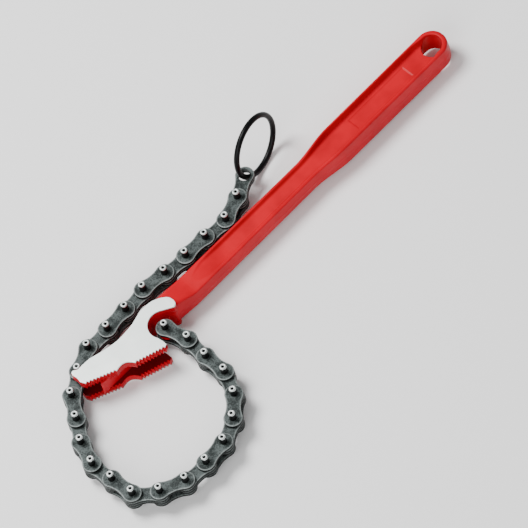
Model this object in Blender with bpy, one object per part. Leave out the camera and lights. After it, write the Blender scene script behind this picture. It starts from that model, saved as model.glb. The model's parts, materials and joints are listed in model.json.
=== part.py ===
"""Chain pipe wrench lying on one cheek: a forged handle with a toothed head, a leaf chain and a ring.

Metres, +Z up. The origin is on the face of the lower cheek, +X runs along the handle to its hang
hole, and +Y is the side of the head's back edge. The chain is pinned to a lug inside the round notch,
goes round the space for the pipe and hooks over the nose of the head with one of its long pins.
"""

import math

import bmesh
import bpy
from mathutils import Matrix, Vector

MM = 0.001

# Chain
pitch = 15.875 * MM
plate_thickness = 2.0 * MM
plate_gap = 0.35 * MM
plate_end_radius = 5.75 * MM
plate_waist_width = 8.4 * MM
pin_diameter = 4.1 * MM
pin_length = 21.0 * MM
pin_centre_diameter = 1.7 * MM
pin_centre_depth = 1.6 * MM
pin_clearance = 0.03 * MM
eye_diameter = 7.7 * MM

# Heading of each link in degrees: those of the loop, from the pin in the notch to the pin hooked over
# the nose, and those of the free tail, from the hooked pin to the eye that holds the ring
loop_headings = (-80, -96, -92, -116, -138, -156, -176, 176, 154, 134, 92, 90, 68, 54, 54, 30)
tail_headings = (24, -1, 2, 4, -8, -6, -2, -5, 19, 30)

# Ring
ring_wire_diameter = 3.5 * MM
ring_outer_diameter = 41.2 * MM
ring_heading = 14.3
ring_lean = 6.5
ring_side_shift = 0.6 * MM
ring_end_shift = 0.2 * MM

# Head
anchor_x = 29.65 * MM
anchor_y = -6.65 * MM
head_shift_x = 0.35 * MM
head_shift_y = 0.65 * MM
head_thickness = 21.5 * MM
head_depth = 28.4 * MM
slot_width = 10.0 * MM
tooth_pitch = 2.1 * MM
tooth_depth = 1.15 * MM
arch_depth = 3.0 * MM
notch_radius = 9.1 * MM
notch_shift_x = -1.05 * MM
notch_shift_y = -1.05 * MM
notch_start = 205
notch_end = 50
lug_radius = 4.6 * MM
lug_start = 155
lug_end = 335
lug_heading = 65
seat_clearance = 0.3 * MM

# Handle
handle_offset = 8.25 * MM
handle_tilt = -0.5
hole_reach = 231.2 * MM
hang_hole_diameter = 12.0 * MM
shank_width = 15.6 * MM
neck_width = 14.9 * MM
shank_thickness = 12.4 * MM
grip_width = 19.4 * MM
grip_thickness = 16.1 * MM
face_step = 0.8 * MM
web_thickness = 8.0 * MM
shank_flange = 2.2 * MM
grip_flange = 2.0 * MM
recess_draft = 1.0 * MM
panel_length = 45.5 * MM
panel_width = 9.0 * MM
panel_depth = 0.8 * MM
panel_end_gap = 14.0 * MM

overrun = 3.0 * MM
pin_sides = 10
plate_arc_steps = 5
plate_arc_end = 130
half_turn = 180
notch_steps = 14
lug_steps = 10
arch_steps = 6
hole_sides = 28
end_steps = 12
ring_segments = 30
ring_sides = 10

link_headings = loop_headings + tail_headings
mid_height = head_thickness / 2
pin_radius = pin_diameter / 2
chain_width = 4 * plate_thickness + 3 * plate_gap


def wall_radius(radius, sides):
    """Corner radius of a polygon whose flat sides keep the running clearance to a pin of this radius."""
    return (radius + pin_clearance) / math.cos(math.pi / sides)


def pin_places():
    """Centres of the pins in the plane of the chain, the anchor pin first and the ring's eye last."""
    places = [Vector((anchor_x, anchor_y))]
    for heading in link_headings:
        angle = math.radians(heading)
        places.append(places[-1] + pitch * Vector((math.cos(angle), math.sin(angle))))
    return places


pins = pin_places()
anchor = pins[0]
hook = pins[len(loop_headings)]
hook_span = anchor.x - hook.x

# Outline of the head from the anchor pin, in shares of the hook span and of the head's depth
back_shares = ((0.10, 0.505), (-0.02, 0.535), (-0.11, 0.515), (-0.26, 0.445), (-0.47, 0.422),
               (-0.61, 0.460), (-0.72, 0.508), (-0.855, 0.583))
nose_shares = ((-1.122, 0.585), (-1.117, 0.472), (-1.131, 0.345))
left_jaw_shares = ((-1.104, 0.225), (-0.776, -0.062))
right_jaw_shares = ((-0.568, -0.243), (-0.225, -0.468))
point_shares = ((-0.181, -0.435), (-0.179, -0.330))
finger_shares = ((0.128, 0.172), (0.177, 0.077), (0.214, 0.042), (0.254, 0.081), (0.270, 0.194),
                 (0.252, 0.317), (0.187, 0.430))
# Hook seat round the long pin, in shares of the seat's radius
seat_shares = ((1.5, -1.0), (-0.55, -1.0), (-1.6, -0.16), (-2.2, -0.36))
# Edge of the solid middle between the cheeks
slot_shares = ((-0.82, 1.10), (-0.82, 0.42), (-0.90, 0.18), (-0.952, 0.066), (-0.50, 0.046),
               (-0.27, 0.020), (-0.15, 0.0))
slot_outer_shares = ((-0.15, -1.0), (-1.5, -1.0), (-1.5, 1.10))

# Stations along the handle from the anchor pin, in shares of the reach to the hang hole
root_share = 0.052
shank_share = 0.122
recess_share = 0.140
taper_share = 0.540
grip_share = 0.650


def head_point(share):
    """Place of an outline share in the plane of the head."""
    shift = Vector((head_shift_x, head_shift_y))
    return anchor + shift + Vector((share[0] * hook_span, share[1] * head_depth))


def arc(centre, radius, start, end, steps):
    """Points on an arc, angles in degrees, both ends included."""
    points = []
    for step in range(steps + 1):
        angle = math.radians(start + (end - start) * step / steps)
        points.append(centre + radius * Vector((math.cos(angle), math.sin(angle))))
    return points


def jaw(start, end):
    """Saw teeth from one end of a jaw to the other, tips on the line and roots inside the head."""
    count = max(2, round((end - start).length / tooth_pitch))
    step = (end - start) / count
    inward = Vector((-step.y, step.x)).normalized() * tooth_depth
    points = []
    for index in range(count):
        tip = start + index * step
        points += [tip, tip + step / 2 + inward]
    return points + [end]


def bulge(start, end, depth, steps):
    """Points between two ends on a curve that reaches this depth into the head."""
    across = end - start
    inward = Vector((-across.y, across.x)).normalized()
    points = []
    for step in range(1, steps):
        share = step / steps
        points.append(start + share * across + inward * depth * math.sin(math.pi * share))
    return points


def head_outline():
    """Outline of both cheeks, counter-clockwise from the finger over the back, nose and teeth."""
    seat_radius = pin_radius + seat_clearance
    left_start, left_end = (head_point(share) for share in left_jaw_shares)
    right_start, right_end = (head_point(share) for share in right_jaw_shares)
    outline = [head_point(share) for share in back_shares]
    outline += [hook + seat_radius * Vector(share) for share in seat_shares]
    outline += [head_point(share) for share in nose_shares]
    outline += jaw(left_start, left_end)
    outline += bulge(left_end, right_start, arch_depth, arch_steps)
    outline += jaw(right_start, right_end)
    outline += [head_point(share) for share in point_shares]
    outline += [head_point(share) for share in finger_shares]
    return outline


def notch_outline():
    """Round notch in both cheeks, open between the lower point and the finger."""
    centre = anchor + Vector((notch_shift_x, notch_shift_y))
    outline = arc(centre, notch_radius, notch_start, notch_end, notch_steps)
    outline.append(head_point(finger_shares[1]))
    outline.append(head_point(finger_shares[2]))
    outline.append(head_point((finger_shares[2][0], -1.0)))
    outline.append(head_point((point_shares[1][0], -1.0)))
    outline.append(head_point(point_shares[1]))
    return outline


def station(share):
    """Distance along X of a share of the handle's reach."""
    return anchor.x + share * hole_reach


def along_handle(x, across):
    """Place in the plane of the tool beside the handle's own tilted middle line."""
    tilt = math.tan(math.radians(handle_tilt))
    return Vector((x, anchor.y + handle_offset + tilt * (x - anchor.x) + across))


def handle_outline(inset_shank, inset_grip, start, root):
    """Plan of the handle, drawn in by an inset, from a starting X to the round end."""
    shank_half = shank_width / 2 - inset_shank
    neck_half = neck_width / 2 - inset_shank
    grip_half = grip_width / 2 - inset_grip
    low = [(station(taper_share), -neck_half), (station(grip_share), -grip_half)]
    high = [(x, -across) for x, across in reversed(low)]
    if root:
        low = [(start, 0), None, (station(shank_share), -shank_half)] + low
        high += [(station(shank_share), shank_half), (start, shank_half)]
    else:
        corner = shank_half / 2
        low = [(start, corner - shank_half), (start + corner, -shank_half)] + low
        high += [(x, -across) for x, across in (low[1], low[0])]
    outline = [along_handle(*pair) if pair else head_point(finger_shares[2]) for pair in low]
    outline += arc(along_handle(station(1), 0), grip_half, -90, 90, end_steps)
    return outline + [along_handle(*pair) for pair in high]


def handle_side():
    """Side view of the handle's forging as X and Z, thick at the head, thinner along the shank."""
    root_half = mid_height - face_step
    profile = [(station(0) - overrun, root_half), (station(root_share), root_half),
               (station(shank_share), shank_thickness / 2), (station(taper_share), shank_thickness / 2),
               (station(grip_share), grip_thickness / 2),
               (station(1) + grip_width, grip_thickness / 2)]
    upper = [Vector((x, mid_height + half)) for x, half in profile]
    lower = [Vector((x, mid_height - half)) for x, half in reversed(profile)]
    return list(reversed(upper + lower))


def clear_scene():
    """Start from an empty file."""
    for item in list(bpy.data.objects):
        bpy.data.objects.remove(item, do_unlink=True)


def material(name, colour, roughness, metallic):
    """Principled material with a plain colour."""
    made = bpy.data.materials.new(name)
    made.use_nodes = True
    shader = made.node_tree.nodes["Principled BSDF"]
    shader.inputs["Base Color"].default_value = (*colour, 1.0)
    shader.inputs["Roughness"].default_value = roughness
    shader.inputs["Metallic"].default_value = metallic
    return made


def place(name, mesh, parent=None, finish=None):
    """Put a mesh in the scene under a name."""
    item = bpy.data.objects.new(name, mesh)
    bpy.context.scene.collection.objects.link(item)
    item.parent = parent
    if finish and not mesh.materials:
        mesh.materials.append(finish)
    return item


def loft(name, sections):
    """Closed mesh through rings of 3-D points that all have the same count, capped at both ends."""
    shape = bmesh.new()
    rings = [[shape.verts.new(point) for point in section] for section in sections]
    for lower, upper in zip(rings, rings[1:]):
        for index in range(len(lower)):
            following = (index + 1) % len(lower)
            shape.faces.new((lower[index], lower[following], upper[following], upper[index]))
    shape.faces.new(list(reversed(rings[0])))
    shape.faces.new(rings[-1])
    bmesh.ops.recalc_face_normals(shape, faces=shape.faces)
    mesh = bpy.data.meshes.new(name)
    shape.to_mesh(mesh)
    shape.free()
    return mesh


def prism(name, outline, low, high):
    """Outline in the plane of the tool, raised from one height to another."""
    return loft(name, [[point.to_3d() + Vector((0, 0, height)) for point in outline]
                       for height in (low, high)])


def cylinder(name, centre, radius, low, high, sides):
    """Upright round solid."""
    return prism(name, ring_of(centre, radius, sides), low, high)


def combine(target, mesh, operation):
    """Join a shape to the target, or cut it out, with a hidden helper object."""
    helper = place(mesh.name, mesh)
    helper.hide_render = True
    helper.display_type = "WIRE"
    change = target.modifiers.new(mesh.name, "BOOLEAN")
    change.operation = operation
    change.solver = "EXACT"
    change.object = helper


def recess_cutter(name, side):
    """Tapered cutter for the long recess between the handle's edge flanges, on one face."""
    floor = mid_height + side * web_thickness / 2
    lip = mid_height + side * (grip_thickness / 2 + overrun)
    start = station(recess_share)
    steep = recess_draft * (lip - floor) / (side * (grip_thickness - web_thickness) / 2)
    narrow = handle_outline(shank_flange + recess_draft, grip_flange + recess_draft, start, False)
    wide_inset = recess_draft - steep
    wide = handle_outline(shank_flange + wide_inset, grip_flange + wide_inset, start - steep, False)
    return loft(name, [[point.to_3d() + Vector((0, 0, height)) for point in outline]
                       for outline, height in ((narrow, floor), (wide, lip))])


def panel_cutter(name, side):
    """Cutter for the shallow plain panel in the grip's recess."""
    floor = mid_height + side * (web_thickness / 2 - panel_depth)
    lip = mid_height + side * (web_thickness / 2 + panel_depth)
    end = station(1) - hang_hole_diameter / 2 - panel_end_gap
    start = end - panel_length
    half = panel_width / 2
    outline = [along_handle(x, across) for x, across in ((start, -half), (end, -half), (end, half),
                                                         (start, half))]
    return prism(name, outline, min(floor, lip), max(floor, lip))


def build_handle(finish):
    """One forging: toothed head with two cheeks, the solid middle, the lug and the handle."""
    bottom, top = -overrun, head_thickness + overrun
    outline = handle_outline(0, 0, station(0), True)
    handle = place("handle", prism("handle", outline, bottom, top), finish=finish)
    side = [Vector((point.x, 0, point.y)) for point in handle_side()]
    reach = head_depth + grip_width
    combine(handle, loft("side_view", [[point + Vector((0, y, 0)) for point in side]
                                       for y in (-reach, reach)]), "INTERSECT")
    combine(handle, prism("head", head_outline(), 0, head_thickness), "UNION")
    combine(handle, prism("notch", notch_outline(), bottom, top), "DIFFERENCE")
    slot = [head_point(share) for share in slot_shares + slot_outer_shares]
    combine(handle, prism("chain_slot", slot, mid_height - slot_width / 2,
                          mid_height + slot_width / 2), "DIFFERENCE")
    lug_half = plate_thickness + plate_gap / 2
    lug = arc(anchor, lug_radius, lug_start, lug_end, lug_steps)
    toward = math.radians(lug_heading)
    root = notch_radius * Vector((math.cos(toward), math.sin(toward)))
    lug += [lug[-1] + root, lug[0] + root]
    combine(handle, prism("lug", lug, mid_height - lug_half, mid_height + lug_half), "UNION")
    combine(handle, cylinder("lug_bore", anchor, wall_radius(pin_radius, pin_sides),
                             bottom, top, pin_sides), "DIFFERENCE")
    for word, side in (("upper", 1), ("lower", -1)):
        combine(handle, recess_cutter(word + "_recess", side), "DIFFERENCE")
        combine(handle, panel_cutter(word + "_panel", side), "DIFFERENCE")
    combine(handle, cylinder("hang_hole", along_handle(station(1), 0), hang_hole_diameter / 2,
                             bottom, top, hole_sides), "DIFFERENCE")
    return handle


def plate_outline():
    """Figure-eight outline of a chain plate, its first hole at the origin and the next one on +X."""
    outline = arc(Vector((pitch, 0)), plate_end_radius, -plate_arc_end, plate_arc_end,
                  2 * plate_arc_steps)
    outline.append(Vector((pitch / 2, plate_waist_width / 2)))
    outline += arc(Vector((0, 0)), plate_end_radius, half_turn - plate_arc_end,
                   half_turn + plate_arc_end, 2 * plate_arc_steps)
    outline.append(Vector((pitch / 2, -plate_waist_width / 2)))
    return outline


def ring_of(centre, radius, sides):
    """Corners of an upright polygon hole or pin."""
    return [centre + radius * Vector((math.cos(2 * math.pi * step / sides),
                                      math.sin(2 * math.pi * step / sides))) for step in range(sides)]


def fill_between(shape, loops, up):
    """Flat face with holes between loops of vertices, facing up or down."""
    edges = []
    for loop in loops:
        for index, vertex in enumerate(loop):
            edges.append(shape.edges.get((vertex, loop[(index + 1) % len(loop)])))
    filled = bmesh.ops.triangle_fill(shape, use_beauty=True, use_dissolve=False, edges=edges,
                                     normal=Vector((0, 0, up)))
    return filled["geom"]


def add_wall(shape, outline, low, high):
    """Upright wall along an outline; gives its lower and upper loops of vertices."""
    loops = [[shape.verts.new(point.to_3d() + Vector((0, 0, height))) for point in outline]
             for height in (low, high)]
    for index in range(len(outline)):
        following = (index + 1) % len(outline)
        shape.faces.new((loops[0][index], loops[0][following], loops[1][following], loops[1][index]))
    return loops


def finish_mesh(shape, name):
    """Make a shape's faces point outwards and turn it into a mesh."""
    bmesh.ops.recalc_face_normals(shape, faces=shape.faces)
    mesh = bpy.data.meshes.new(name)
    shape.to_mesh(mesh)
    shape.free()
    return mesh


def plate_mesh(name, low, hole_radii):
    """Chain plate with its lower face at this height from the middle plane."""
    shape = bmesh.new()
    high = low + plate_thickness
    walls = [add_wall(shape, plate_outline(), low, high)]
    for centre_x, radius in zip((0, pitch), hole_radii):
        walls.append(add_wall(shape, ring_of(Vector((centre_x, 0)), radius, pin_sides), low, high))
    fill_between(shape, [wall[0] for wall in walls], -1)
    fill_between(shape, [wall[1] for wall in walls], 1)
    return finish_mesh(shape, name)


def pinned_plate_mesh(name):
    """Lower outer plate with its two long riveted pins, drilled at both ends."""
    shape = bmesh.new()
    low, high = -chain_width / 2, -chain_width / 2 + plate_thickness
    walls = add_wall(shape, plate_outline(), low, high)
    bottoms, tops = [walls[0]], [walls[1]]
    for centre_x in (0, pitch):
        centre = Vector((centre_x, 0))
        barrel = ring_of(centre, pin_radius, pin_sides)
        centre_hole = ring_of(centre, pin_centre_diameter / 2, pin_sides)
        tip = pin_length / 2
        below = add_wall(shape, barrel, -tip, low)
        above = add_wall(shape, barrel, high, tip)
        drilled_low = add_wall(shape, centre_hole, -tip, -tip + pin_centre_depth)
        drilled_high = add_wall(shape, centre_hole, tip - pin_centre_depth, tip)
        bottoms.append(below[1])
        tops.append(above[0])
        fill_between(shape, [below[0], drilled_low[0]], -1)
        fill_between(shape, [above[1], drilled_high[1]], 1)
        shape.faces.new(drilled_low[1])
        shape.faces.new(drilled_high[0])
    fill_between(shape, bottoms, -1)
    fill_between(shape, tops, 1)
    return finish_mesh(shape, name)


def build_chain(handle, finish):
    """Thirteen outer and thirteen inner links, each turned about its first pin."""
    running = wall_radius(pin_radius, pin_sides)
    eye_radius = wall_radius(eye_diameter / 2, pin_sides)
    outer_low = -chain_width / 2
    inner_low = outer_low + plate_thickness + plate_gap
    inner_high = plate_gap / 2
    outer_high = chain_width / 2 - plate_thickness
    pinned = pinned_plate_mesh("pinned_plate")
    cover = plate_mesh("cover_plate", outer_high, (running, running))
    lower = plate_mesh("inner_plate_lower", inner_low, (running, running))
    upper = plate_mesh("inner_plate_upper", inner_high, (running, running))
    last_lower = plate_mesh("eye_plate_lower", inner_low, (running, eye_radius))
    last_upper = plate_mesh("eye_plate_upper", inner_high, (running, eye_radius))
    for mesh in (pinned, cover, lower, upper, last_lower, last_upper):
        mesh.materials.append(finish)
    carrier = handle
    before = 0
    for number, heading in enumerate(link_headings, start=1):
        joint = place(f"joint_{number:02d}", None)
        joint.parent = carrier
        start = Vector((anchor.x, anchor.y, mid_height)) if number == 1 else Vector((pitch, 0, 0))
        joint.location = start
        joint.rotation_euler.z = math.radians(heading - before)
        if number % 2:
            place(f"link_{number:02d}_pinned_plate", pinned, joint)
            place(f"link_{number:02d}_cover_plate", cover, joint)
        elif number < len(link_headings):
            place(f"link_{number:02d}_lower_plate", lower, joint)
            place(f"link_{number:02d}_upper_plate", upper, joint)
        else:
            place(f"link_{number:02d}_lower_plate", last_lower, joint)
            place(f"link_{number:02d}_upper_plate", last_upper, joint)
        carrier, before = joint, heading
    return carrier


def build_ring(last_joint, finish):
    """Wire ring that leans a little on its edge and passes through the last link's eye."""
    wire_radius = ring_wire_diameter / 2
    centre_radius = ring_outer_diameter / 2 - wire_radius
    lean = math.radians(ring_lean)
    upward = Vector((0, math.sin(lean), math.cos(lean)))
    across = Vector((0, math.cos(lean), -math.sin(lean)))
    rise = centre_radius * upward.z + wire_radius - mid_height
    climb = rise / upward.z
    reach = math.sqrt(centre_radius ** 2 - climb ** 2)
    middle = Vector((reach - ring_end_shift, -ring_side_shift, 0)) + climb * upward
    shape = bmesh.new()
    loops = []
    for segment in range(ring_segments):
        turn = 2 * math.pi * segment / ring_segments
        outward = math.cos(turn) * Vector((1, 0, 0)) + math.sin(turn) * upward
        loops.append([shape.verts.new(middle + centre_radius * outward + wire_radius * (
            math.cos(2 * math.pi * side / ring_sides) * outward
            + math.sin(2 * math.pi * side / ring_sides) * across))
            for side in range(ring_sides)])
    for index, loop in enumerate(loops):
        following = loops[(index + 1) % ring_segments]
        for side in range(ring_sides):
            after = (side + 1) % ring_sides
            shape.faces.new((loop[side], loop[after], following[after], following[side]))
    mesh = finish_mesh(shape, "ring")
    mesh.materials.append(finish)
    mesh.shade_smooth()
    swivel = place("ring_swivel", None)
    swivel.parent = last_joint
    swivel.location = Vector((pitch, 0, 0))
    swivel.rotation_euler.z = math.radians(ring_heading - link_headings[-1])
    place("ring", mesh, swivel)


def main():
    """Build the whole wrench."""
    clear_scene()
    enamel = material("red_enamel", (0.62, 0.012, 0.012), 0.3, 0.0)
    steel = material("chain_steel", (0.11, 0.13, 0.125), 0.5, 0.9)
    blackened = material("black_wire", (0.015, 0.016, 0.016), 0.4, 0.8)
    handle = build_handle(enamel)
    last_joint = build_chain(handle, steel)
    build_ring(last_joint, blackened)
    print("hook pin from anchor, mm:", [round(value / MM, 2) for value in hook - anchor])


main()
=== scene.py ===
"""Dress the chain pipe wrench: a red forged handle with ground cheeks, a leaf chain and a wire ring.

All sizes are millimetres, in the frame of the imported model: X runs along the handle, Z is up.
"""

import json
import logging
import math
from dataclasses import dataclass
from enum import Enum
from typing import Sequence

import bmesh
import bpy
from mathutils import Matrix, Vector


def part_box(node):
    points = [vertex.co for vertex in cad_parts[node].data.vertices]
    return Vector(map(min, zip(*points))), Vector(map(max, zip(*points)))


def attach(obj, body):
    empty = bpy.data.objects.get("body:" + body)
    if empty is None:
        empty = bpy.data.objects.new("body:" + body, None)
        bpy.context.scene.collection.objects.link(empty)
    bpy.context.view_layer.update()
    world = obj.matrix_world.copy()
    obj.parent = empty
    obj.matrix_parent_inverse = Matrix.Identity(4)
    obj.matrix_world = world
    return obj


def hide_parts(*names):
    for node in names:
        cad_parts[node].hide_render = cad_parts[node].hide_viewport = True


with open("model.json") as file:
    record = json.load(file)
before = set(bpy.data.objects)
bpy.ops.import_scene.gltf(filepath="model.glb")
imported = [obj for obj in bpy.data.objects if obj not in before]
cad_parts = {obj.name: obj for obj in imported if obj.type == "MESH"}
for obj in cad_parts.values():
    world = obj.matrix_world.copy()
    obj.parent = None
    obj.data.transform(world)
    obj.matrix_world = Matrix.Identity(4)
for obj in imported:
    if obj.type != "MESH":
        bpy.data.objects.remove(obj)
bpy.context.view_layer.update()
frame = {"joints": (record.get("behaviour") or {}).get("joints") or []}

MM = 0.001
LOG = logging.getLogger("chain_wrench")
Point = tuple[float, float]
Ring = list[bmesh.types.BMVert]


class Shade(Enum):
    """How the faces of a mesh are shaded."""

    SMOOTH = "smooth"
    BY_ANGLE = "by angle"


class Side(Enum):
    """The two cheeks of the head, as the sign of their height from the middle plane."""

    UPPER = 1
    LOWER = -1


class Layer(Enum):
    """The four plates across the chain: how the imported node's name ends, and its rank in the stack."""

    OUTER_HIGH = ("cover_plate", 1)
    INNER_HIGH = ("upper_plate", 0)
    INNER_LOW = ("lower_plate", -1)
    OUTER_LOW = ("pinned_plate", -2)


# Small tools for colours, nodes and meshes


def linear(hex_colour: str) -> tuple[float, float, float, float]:
    """Turn an sRGB hex colour into linear values.

    Args:
        hex_colour: six hex digits with a leading hash.

    Returns:
        Red, green, blue and alpha, linear.
    """
    values = []
    for start in (1, 3, 5):
        share = int(hex_colour[start:start + 2], 16) / 255
        values.append(share / 12.92 if share <= 0.04045 else ((share + 0.055) / 1.055) ** 2.4)
    return (*values, 1.0)


def add_node(tree: bpy.types.NodeTree, kind: str, inputs: dict | None = None,
             stops: Sequence[tuple[float, str]] = (), **settings) -> bpy.types.Node:
    """Add a node, set its properties, and set or link its inputs.

    Args:
        tree: the node tree that gets the node.
        kind: the node's type name.
        inputs: values or output sockets, by the input's name or number.
        stops: the two places of a colour ramp, each with its hex colour.
        settings: properties of the node itself.

    Returns:
        The new node.
    """
    made = tree.nodes.new(kind)
    for name, value in settings.items():
        setattr(made, name, value)
    for key, value in (inputs or {}).items():
        if isinstance(value, bpy.types.NodeSocket):
            tree.links.new(value, made.inputs[key])
        else:
            made.inputs[key].default_value = value
    for number, (where, colour) in enumerate(stops):
        made.color_ramp.elements[number].position = where
        made.color_ramp.elements[number].color = linear(colour)
    return made


def new_mesh(name: str, shape: bmesh.types.BMesh, shade: Shade = Shade.BY_ANGLE,
             angle: float = 35.0) -> bpy.types.Mesh:
    """Turn a bmesh in millimetres into a mesh in metres with outward faces.

    Args:
        name: the mesh's name.
        shape: the bmesh, which is freed.
        shade: how its faces are shaded.
        angle: edges sharper than this stay sharp, in degrees.

    Returns:
        The mesh.
    """
    bmesh.ops.recalc_face_normals(shape, faces=shape.faces)
    bmesh.ops.scale(shape, vec=(MM, MM, MM), verts=shape.verts)
    mesh = bpy.data.meshes.new(name)
    shape.to_mesh(mesh)
    shape.free()
    mesh.shade_smooth()
    if shade is Shade.BY_ANGLE:
        mesh.set_sharp_from_angle(angle=math.radians(angle))
    return mesh


def place(name: str, mesh: bpy.types.Mesh, body: str, nodes: Sequence[str],
          materials: Sequence[bpy.types.Material]) -> bpy.types.Object:
    """Put a finished mesh in the scene as a piece of the wrench.

    Args:
        name: the piece's name.
        mesh: its mesh, in the frame's own place.
        body: the body that it moves with.
        nodes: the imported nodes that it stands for.
        materials: its materials, in slot order.

    Returns:
        The new object.
    """
    piece = bpy.data.objects.new(name, mesh)
    bpy.context.scene.collection.objects.link(piece)
    for finish in materials:
        mesh.materials.append(finish)
    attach(piece, body)
    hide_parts(*nodes)
    LOG.info("%s: %d faces on %s", name, len(mesh.polygons), body)
    return piece


def weighted(piece: bpy.types.Object) -> None:
    """Let large flat faces keep their own normals beside rounded edges."""
    change = piece.modifiers.new("weighted_normals", "WEIGHTED_NORMAL")
    change.keep_sharp = True


def ring_verts(shape: bmesh.types.BMesh, points: Sequence[Vector]) -> Ring:
    """Make a ring of vertices."""
    return [shape.verts.new(point) for point in points]


def level_ring(shape: bmesh.types.BMesh, outline: Sequence[Vector], height: float) -> Ring:
    """Make a level ring of vertices from a flat outline."""
    return ring_verts(shape, [Vector((point.x, point.y, height)) for point in outline])


def close_walls(shape: bmesh.types.BMesh, rings: Sequence[Ring]) -> None:
    """Join each ring of vertices to the next with a wall of faces.

    Args:
        shape: the bmesh that holds the rings.
        rings: rings of equal length, in order.
    """
    for near, far in zip(rings, rings[1:]):
        for index in range(len(near)):
            following = (index + 1) % len(near)
            shape.faces.new((near[index], near[following], far[following], far[index]))


def close_sections(shape: bmesh.types.BMesh, rings: Sequence[Ring]) -> None:
    """Close a solid of cross-sections with walls and one face at each end.

    Args:
        shape: the bmesh that holds the rings.
        rings: rings of equal length, in order.
    """
    close_walls(shape, rings)
    shape.faces.new(rings[0])
    shape.faces.new(rings[-1])


def fill_flat(shape: bmesh.types.BMesh, loops: Sequence[Ring], up: int) -> None:
    """Fill the flat space between loops of vertices, holes included.

    Args:
        shape: the bmesh that holds the loops.
        loops: the outline and its holes.
        up: 1 where the faces look up, -1 where they look down.
    """
    edges = []
    for loop in loops:
        edges += [shape.edges.get((vertex, loop[(index + 1) % len(loop)]))
                  for index, vertex in enumerate(loop)]
    bmesh.ops.triangle_fill(shape, use_beauty=True, use_dissolve=False, edges=edges,
                            normal=Vector((0, 0, up)))


def close_levels(shape: bmesh.types.BMesh, rings: Sequence[Ring], up: int = 1) -> None:
    """Close a solid of level rings with walls and a flat fill at each end.

    Args:
        shape: the bmesh that holds the rings.
        rings: rings of equal length, in order.
        up: 1 where the rings climb, -1 where they descend.
    """
    close_walls(shape, rings)
    fill_flat(shape, [rings[0]], -up)
    fill_flat(shape, [rings[-1]], up)


def ease(low: float, high: float, value: float) -> float:
    """Smooth step from 0 at low to 1 at high."""
    share = min(max((value - low) / (high - low), 0.0), 1.0)
    return share * share * (3 - 2 * share)


def arc(centre: Vector, radius: float, start: float, end: float, steps: int) -> list[Vector]:
    """Points on a flat arc.

    Args:
        centre: its centre.
        radius: its radius.
        start: angle of the first point, in degrees.
        end: angle of the last point, in degrees.
        steps: number of spans.

    Returns:
        The points, both ends included.
    """
    points = []
    for step in range(steps + 1):
        angle = math.radians(start + (end - start) * step / steps)
        points.append(centre + radius * Vector((math.cos(angle), math.sin(angle))))
    return points


def circle(centre: Vector, radius: float, sides: int) -> list[Vector]:
    """Points of a flat closed circle."""
    return arc(centre, radius, 0, 360 - 360 / sides, sides - 1)


def direction(azimuth: float, elevation: float) -> Vector:
    """Unit vector towards an azimuth from +X and an elevation, in degrees."""
    turn, high = math.radians(azimuth), math.radians(elevation)
    return Vector((math.cos(high) * math.cos(turn), math.cos(high) * math.sin(turn), math.sin(high)))


def smooth_through(points: Sequence[Vector], per_span: int) -> list[Vector]:
    """Curve through flat points.

    Args:
        points: the points that the curve passes, in order.
        per_span: points made for each span between two of them.

    Returns:
        Points along the curve, first and last included.
    """
    ends = [2 * points[0] - points[1], *points, 2 * points[-1] - points[-2]]
    curve = []
    for before, start, end, after in zip(ends, ends[1:], ends[2:], ends[3:]):
        for step in range(per_span):
            t = step / per_span
            curve.append(0.5 * (2 * start + (end - before) * t
                                + (2 * before - 5 * start + 4 * end - after) * t ** 2
                                + (3 * start - before - 3 * end + after) * t ** 3))
    return curve + [points[-1]]


def drawn_in(outline: Sequence[Vector], inset: float, least_lean: float = 0.2,
             least_square: float = 0.45) -> list[Vector]:
    """Move each point of a counter-clockwise outline inwards, square to its two edges.

    Args:
        outline: the outline's points.
        inset: distance from each edge.
        least_lean: below this the two edges double back, and the first one alone gives the way in.
        least_square: keeps the points of sharp corners from moving too far.

    Returns:
        The moved points.
    """
    moved = []
    count = len(outline)
    for index, point in enumerate(outline):
        before = (point - outline[index - 1]).normalized()
        after = (outline[(index + 1) % count] - point).normalized()
        inward = Vector((-before.y - after.y, before.x + after.x))
        if inward.length < least_lean:
            inward = Vector((-before.y, before.x))
        inward.normalize()
        square = max(inward.dot(Vector((-after.y, after.x))), least_square)
        moved.append(point + inward * inset / square)
    return moved


# Finishes


@dataclass(frozen=True)
class Relief:
    """How deep a pattern is pressed, in millimetres, and the share of it that shows."""

    depth_mm: float
    strength: float


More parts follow.
